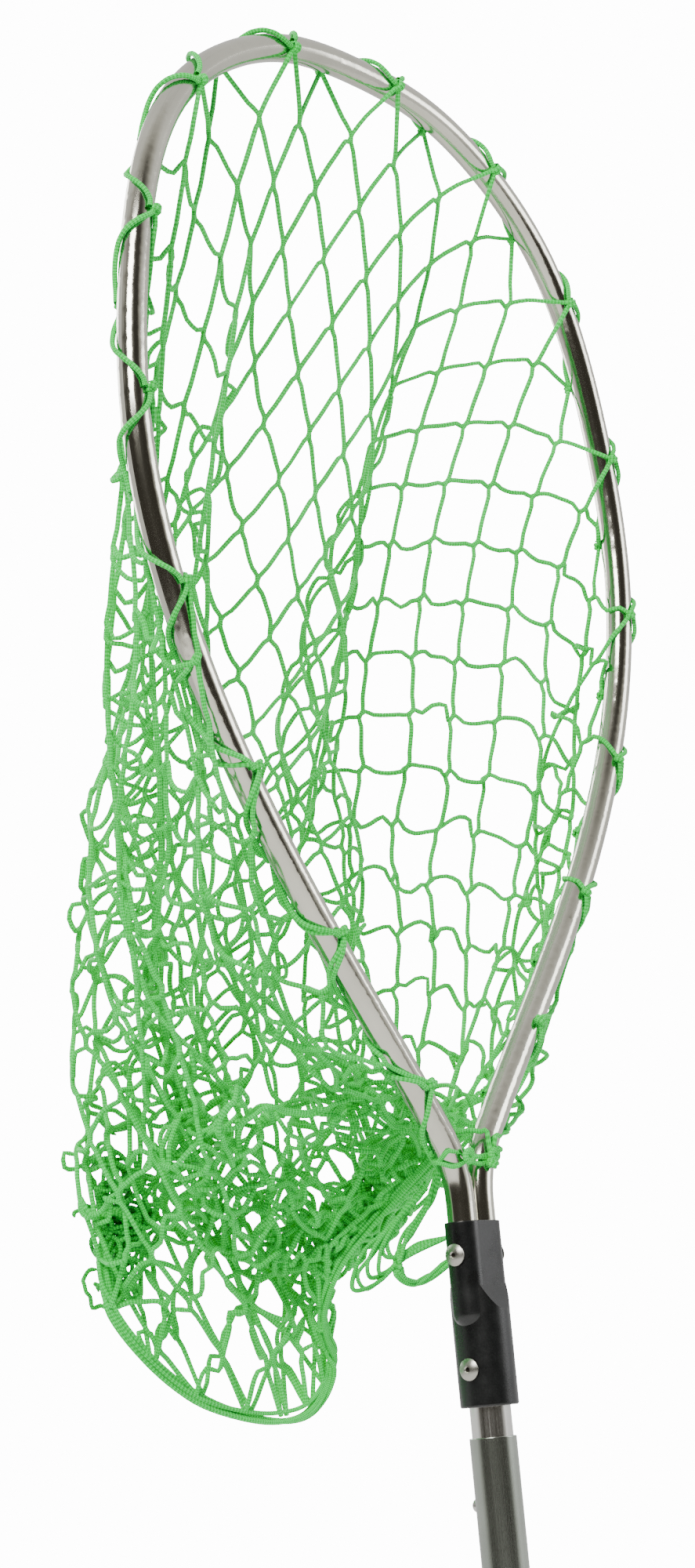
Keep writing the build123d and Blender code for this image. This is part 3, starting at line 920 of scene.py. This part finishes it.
def gatherPaths(plan, middle, seed):
    rng = np.random.default_rng(seed)
    paths = []
    for _ in range(plan["loops"]):
        size = rng.uniform(*plan["size"])
        centre = middle + rng.normal(0, 1, 3) * np.array(plan["spread"])
        first, second = rng.normal(0, 1, 3), rng.normal(0, 1, 3)
        first /= np.linalg.norm(first)
        second -= first * (first @ second)
        second /= np.linalg.norm(second)
        t = np.linspace(rng.uniform(0, 2), rng.uniform(4.5, 7.5), 12)
        wave = rng.uniform(0.6, 1.2, 12)
        ring = first * np.cos(t)[:, None] + second * (np.sin(t) * wave)[:, None]
        ring += np.cross(first, second) * (0.4 * np.sin(2.1 * t))[:, None]
        paths.append(roundOff(centre + ring * size, 3))
    return paths


gatherMiddle = net.seamPlaces[-1] + np.array(gatherPlan["place"])
gatherLoops = gatherPaths(gatherPlan, gatherMiddle, 21)
gather = twineMesh("seam_gather", gatherLoops, gatherPlan["radius"], seed=8, taper=True)
dressPiece(gather, shadedGatherTwine, replaced=("net_seam",))

# slack loops that drop behind the yoke from the seam's front end
strayPlan = {
    "cord": [
        (0.010, 0.024, 0.034),
        (0.010, 0.034, 0.014),
        (-0.002, 0.040, -0.001),
        (-0.011, 0.042, -0.013),
        (-0.012, 0.042, -0.023),
        (-0.004, 0.040, -0.029),
        (0.003, 0.034, -0.027),
        (0.008, 0.026, -0.021),
        (0.014, 0.022, -0.016),
    ],
    "fan": [
        (0.009, 0.034, 0.022),
        (-0.005, 0.042, 0.010),
        (-0.017, 0.046, 0.000),
        (-0.025, 0.047, -0.011),
        (-0.024, 0.047, -0.018),
        (-0.013, 0.045, -0.015),
        (-0.002, 0.038, -0.009),
        (0.010, 0.024, -0.006),
    ],
    "cordStrands": 4,
    "fanStrands": 6,
    "radius": 0.00125,
}


def strayPaths(plan):
    # a twisted cord in one round loop, and a fan of thinner loops beside it
    rng = np.random.default_rng(31)
    cord = roundOff(np.array(plan["cord"]) + [0, 0, neckZ], 2)
    bundle = dict(strands=plan["cordStrands"], spread=0.0017, twist=9.0, stray=0.0006)
    paths = bundlePaths(cord, bundle, 17)
    fan = np.array(plan["fan"]) + [0, 0, neckZ]
    for k in range(plan["fanStrands"]):
        far = np.sin(np.linspace(0, np.pi, len(fan)))[:, None]
        shift = np.array([0.010 - 0.005 * k, 0.002 * k - 0.004, 0.003 - 0.004 * k + 0.003 * (k % 2)])
        paths.append(roundOff(fan + far * (shift + rng.normal(0, 0.0014, fan.shape)), 5))
    return paths


print("dropping the slack loops")
stray = twineMesh("slack_loops", strayPaths(strayPlan), strayPlan["radius"], seed=12)
dressPiece(stray, greenTwine, replaced=("net_seam",))

# turns of twine round the neck
neckPlan = {
    # turns, start angle, first and last height over the yoke, wave, lift
    "turns": [
        (1.30, 0.4, 0.033, 0.038, 0.0030, 0.0002),
        (1.05, 3.4, 0.036, 0.030, 0.0022, 0.0006),
    ],
    "hitches": [(-0.0125, 0.034), (0.0125, 0.035)],
    "radius": 0.00135,
}


def aroundNeck(plan, angle, rise, lift):
    # a point round both legs; a quarter turn is the front
    legX = np.interp(rise + neckZ, tubeLine[: len(tubeLine) // 8, 2], tubeLine[: len(tubeLine) // 8, 0])
    reach = tubeRadius + plan["radius"] + lift
    across = np.clip(np.cos(angle) * 1.25, -1, 1)
    dip = 0.0035 * np.cos(angle) ** 8 - 0.004 * np.sin(angle) ** 6
    return np.stack([across * legX + reach * np.cos(angle), -(reach + dip) * np.sin(angle), neckZ + rise], 1)


def neckPaths(plan):
    paths = []
    for turns, start, low, high, wave, lift in plan["turns"]:
        t = np.linspace(0, 1, int(34 * turns))
        angle = start + math.tau * turns * t
        rise = low + (high - low) * t + wave * np.sin(angle * 3 + start)
        paths.append(aroundNeck(plan, angle, rise, lift))
    for x, rise in plan["hitches"]:
        t = np.linspace(0, 4.5 * math.pi, 46)
        knot = np.array([x, -tubeRadius - 0.0020, neckZ + rise])
        ring = np.stack([np.cos(t) * 0.0034, -np.abs(np.sin(t * 0.5)) * 0.0012, np.sin(t) * 0.0030], 1)
        paths.append(knot + ring + np.array([0.0014, 0, 0.0012])[None] * np.linspace(-1, 1, len(t))[:, None])
    return paths


print("wrapping the neck")
neck = twineMesh("neck_turns", neckPaths(neckPlan), neckPlan["radius"], seed=9, taper=True)
dressPiece(neck, greenTwine, replaced=("neck_binding",))

# stage
stagePlan = {
    "floorSize": 4.4,
    "floorDrop": 0.012,
    "floorColour": (0.86, 0.86, 0.85),
    "skyBright": 1.0,
    "backdrop": 14.0,
    "darkSide": (-0.793, -0.577, -0.198),
    "lights": [
        # place, aimed at, size, power, colour
        ((-2.6, -1.0, 2.8), (0, 0, 1.0), 1.5, 150, (1.0, 0.99, 0.97)),
        ((1.8, -2.4, 1.6), (0, 0, 0.9), 1.4, 40, (0.97, 0.98, 1.0)),
        ((0.4, 2.6, 2.2), (0, 0, 1.0), 1.8, 60, (1.0, 1.0, 1.0)),
    ],
}


def makeFloor(plan):
    grid = bmesh.new()
    bmesh.ops.create_grid(grid, x_segments=8, y_segments=8, size=plan["floorSize"] / 2)
    bmesh.ops.translate(grid, verts=grid.verts, vec=(0, 0, cadLow.z - plan["floorDrop"]))
    mesh = bpy.data.meshes.new("floor")
    grid.to_mesh(mesh)
    grid.free()
    material, w, shader = newFinish("Pale floor")
    place = w.add("ShaderNodeTexCoord").outputs["Object"]
    tone = w.levels(w.noise(place, 3.0, 4.0, 0.6), 0.3, 0.7)
    pale = plan["floorColour"]
    w.join(w.blendColours(tone, (*pale, 1), (*[c * 0.98 for c in pale], 1)), shader.inputs["Base Color"])
    shader.inputs["Roughness"].default_value = 0.85
    mesh.materials.append(material)
    floor = linkObject("floor", mesh)


def makeSky(plan):
    world = bpy.data.worlds.new("Studio")
    world.use_nodes = True
    w = Wires(world.node_tree)
    back = world.node_tree.nodes["Background"]
    way = w.add("ShaderNodeTexCoord").outputs["Generated"]
    split = w.add("ShaderNodeSeparateXYZ")
    w.join(way, split.inputs[0])
    # the room is dark on the side that the front faces, and white behind the object
    front = w.add("ShaderNodeVectorMath", operation="DOT_PRODUCT")
    w.join(way, front.inputs[0])
    front.inputs[1].default_value = plan["darkSide"]
    white, dark = (1.0, 1.0, 1.0), (0.055, 0.050, 0.042)
    shade = w.ramp(front.outputs["Value"], [(0.0, white), (0.22, (0.62, 0.61, 0.58)), (0.45, dark), (1.0, dark)])
    seen = w.add("ShaderNodeLightPath").outputs["Is Camera Ray"]
    w.join(w.blendColours(seen, shade, (*[plan["backdrop"]] * 3, 1)), back.inputs["Color"])
    back.inputs["Strength"].default_value = plan["skyBright"]
    scene.world = world


def makeLights(plan):
    for i, (place, target, size, power, colour) in enumerate(plan["lights"]):
        light = bpy.data.lights.new(f"softLight{i + 1}", "AREA")
        light.shape = "SQUARE"
        light.size = size
        light.energy = power
        light.color = colour
        holder = linkObject(f"softLight{i + 1}", light)
        holder.location = place
        aim = Vector(target) - Vector(place)
        holder.rotation_euler = aim.to_track_quat("-Z", "Y").to_euler()


print("setting the stage")
makeFloor(stagePlan)
makeSky(stagePlan)
makeLights(stagePlan)

cameraPlan = {
    "azimuth": -53.98,
    "elevation": -11.42,
    "roll": -5.30,
    "distance": 1.7165,
    "aimAbove": 0.246,  # above the yoke's top
    "aimAside": -0.0450,
    "lens": 71.03,
}


def makeCamera(plan):
    azimuth, elevation, roll = (math.radians(plan[k]) for k in ("azimuth", "elevation", "roll"))
    right = Vector((math.cos(azimuth), math.sin(azimuth), 0))
    back = Vector(
        (
            math.sin(azimuth) * math.cos(elevation),
            -math.cos(azimuth) * math.cos(elevation),
            math.sin(elevation),
        )
    )
    up = back.cross(right)
    across = right * math.cos(roll) + up * math.sin(roll)
    above = up * math.cos(roll) - right * math.sin(roll)
    data = bpy.data.cameras.new("camera")
    data.sensor_fit = "VERTICAL"
    data.sensor_height = 36.0
    data.sensor_width = 36.0
    data.lens = plan["lens"]
    data.clip_start, data.clip_end = 0.05, 50
    camera = linkObject("camera", data)
    place = Vector((0, 0, neckZ + plan["aimAbove"])) + right * plan["aimAside"] + back * plan["distance"]
    turned = Matrix((across, above, back)).transposed().to_4x4()
    camera.matrix_world = Matrix.Translation(place) @ turned
    scene.camera = camera


makeCamera(cameraPlan)

print("done")
